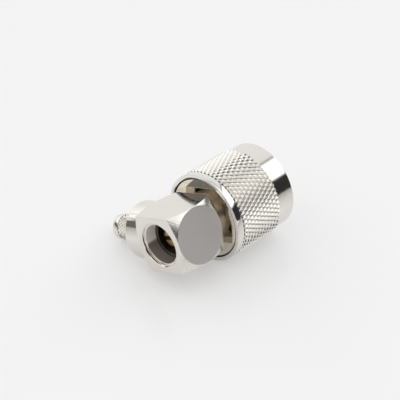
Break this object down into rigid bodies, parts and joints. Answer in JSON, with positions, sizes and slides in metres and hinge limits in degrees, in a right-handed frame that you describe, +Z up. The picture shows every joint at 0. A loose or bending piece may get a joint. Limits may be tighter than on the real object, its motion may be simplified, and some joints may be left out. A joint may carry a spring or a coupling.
{
  "type": "right-angle n type plug connector",
  "caption": "Right-angle coaxial plug: knurled threaded coupling nut on a square elbow block with a knurled crimp stem for the cable.",
  "frame": {"origin": "on the mating axis, in the plane of the outer contact's front end", "axes": "+X along the mating axis and out of the coupling nut, +Z up from the surface that the plug lies on; the cable axis slopes down towards +Y"},
  "size_m": [0.0323, 0.029, 0.0208],
  "materials": {
    "nickel_satin": "nickel plate, satin",
    "nickel_polished": "nickel plate, polished",
    "spring_bronze": "plated spring bronze",
    "silicone": "matte",
    "ptfe": "waxy",
    "gold": "gold plate"
  },
  "bodies": {
    "connector_body": {"elbow_block": "nickel_satin", "front_shell": "nickel_polished", "retaining_ring": "spring_bronze", "gasket": "silicone", "front_insulator": "ptfe", "rear_insulator": "ptfe", "centre_contact": "gold"},
    "coupling_nut": {"coupling_nut": "nickel_polished"}
  },
  "joints": [
    {"name": "nut_spin", "type": "hinge", "parent": "connector_body", "child": "coupling_nut", "pos_m": [-0.0115, 0, 0], "axis": [1, 0, 0], "continuous": true}
  ]
}
